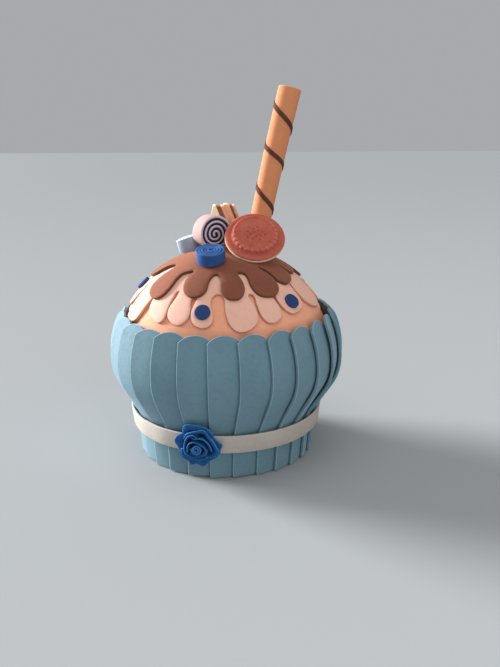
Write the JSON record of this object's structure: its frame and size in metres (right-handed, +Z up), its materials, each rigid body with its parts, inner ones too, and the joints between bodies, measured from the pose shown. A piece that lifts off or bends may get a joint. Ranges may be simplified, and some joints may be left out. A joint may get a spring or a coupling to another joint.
{
  "type": "foam craft muffin",
  "caption": "Display muffin of craft foam: a dome with two layers of drips, a case of overlapping slats with a ribbon and a rose, and biscuit, wafer and rolled toppings.",
  "frame": {"origin": "centre of the flat base, on the surface that the muffin stands on", "axes": "+Z up along the muffin's axis, -Y towards the side with the rose and the biscuit, +X to the right seen from there"},
  "size_m": [0.1614, 0.1612, 0.2495],
  "materials": {
    "dome_foam": "matte craft foam sheet",
    "slat_foam": "matte craft foam sheet",
    "ribbon_foam": "matte craft foam sheet",
    "rose_foam": "matte craft foam sheet",
    "cream_foam": "matte craft foam sheet",
    "chocolate_foam": "matte craft foam sheet",
    "navy_foam": "matte craft foam sheet",
    "blue_foam": "matte craft foam sheet",
    "sky_foam": "matte craft foam sheet",
    "white_foam": "matte craft foam sheet",
    "roll_foam": "matte craft foam sheet",
    "stripe_foam": "matte craft foam sheet",
    "biscuit_foam": "matte craft foam sheet, embossed",
    "beige_foam": "matte craft foam sheet",
    "wafer_cream_foam": "matte craft foam sheet",
    "wafer_brown_foam": "matte craft foam sheet",
    "wafer_pink_foam": "matte craft foam sheet",
    "wafer_tan_foam": "matte craft foam sheet"
  },
  "bodies": {
    "root": {"dome": "dome_foam", "slat_01": "slat_foam", "slat_02": "slat_foam", "slat_03": "slat_foam", "slat_04": "slat_foam", "slat_05": "slat_foam", "slat_06": "slat_foam", "slat_07": "slat_foam", "slat_08": "slat_foam", "slat_09": "slat_foam", "slat_10": "slat_foam", "slat_11": "slat_foam", "slat_12": "slat_foam", "slat_13": "slat_foam", "slat_14": "slat_foam", "slat_15": "slat_foam", "slat_16": "slat_foam", "slat_17": "slat_foam", "slat_18": "slat_foam", "slat_19": "slat_foam", "slat_20": "slat_foam", "slat_21": "slat_foam", "slat_22": "slat_foam", "slat_23": "slat_foam", "slat_24": "slat_foam", "slat_25": "slat_foam", "slat_26": "slat_foam", "slat_27": "slat_foam", "band": "ribbon_foam", "rose": "rose_foam", "cream_drips": "cream_foam", "chocolate_drips": "chocolate_foam", "dot_1": "navy_foam", "dot_2": "navy_foam", "dot_3": "navy_foam", "dot_4": "navy_foam", "dot_5": "navy_foam", "dot_6": "navy_foam", "blue_roll": "blue_foam", "sky_roll": "sky_foam", "wafer_roll": "roll_foam", "wafer_roll_stripe": "stripe_foam", "swirl_white": "white_foam", "swirl_navy": "navy_foam", "biscuit_base": "beige_foam", "biscuit_top": "biscuit_foam", "wafer_side": "wafer_cream_foam", "wafer_brown_left": "wafer_brown_foam", "wafer_pink": "wafer_pink_foam", "wafer_tan_middle": "wafer_tan_foam", "wafer_brown_right": "wafer_brown_foam", "wafer_tan_right": "wafer_tan_foam"}
  },
  "joints": []
}
